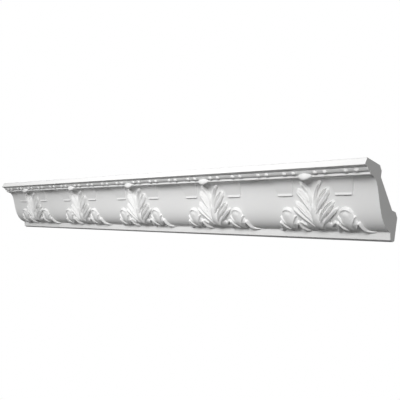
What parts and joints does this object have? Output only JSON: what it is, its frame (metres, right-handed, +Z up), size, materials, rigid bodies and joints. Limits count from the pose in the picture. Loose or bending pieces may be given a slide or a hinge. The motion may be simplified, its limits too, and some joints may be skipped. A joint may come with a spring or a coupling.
{
  "type": "ceiling cornice moulding",
  "caption": "Straight length of moulded ceiling cornice with a cove-and-bulge face, an acanthus leaf frieze, a bead string and flat wall and ceiling strips.",
  "frame": {"origin": "middle of the length, on the flat strip at the back that is glued to the wall, halfway up that strip", "axes": "+X along the length, +Y into the wall, +Z up towards the ceiling; the carved face looks towards -Y and down"},
  "size_m": [1, 0.093, 0.088],
  "materials": {
    "white_foam": "matt white primer on moulded rigid foam"
  },
  "bodies": {
    "root": {"cornice_moulding": "white_foam"}
  },
  "joints": []
}
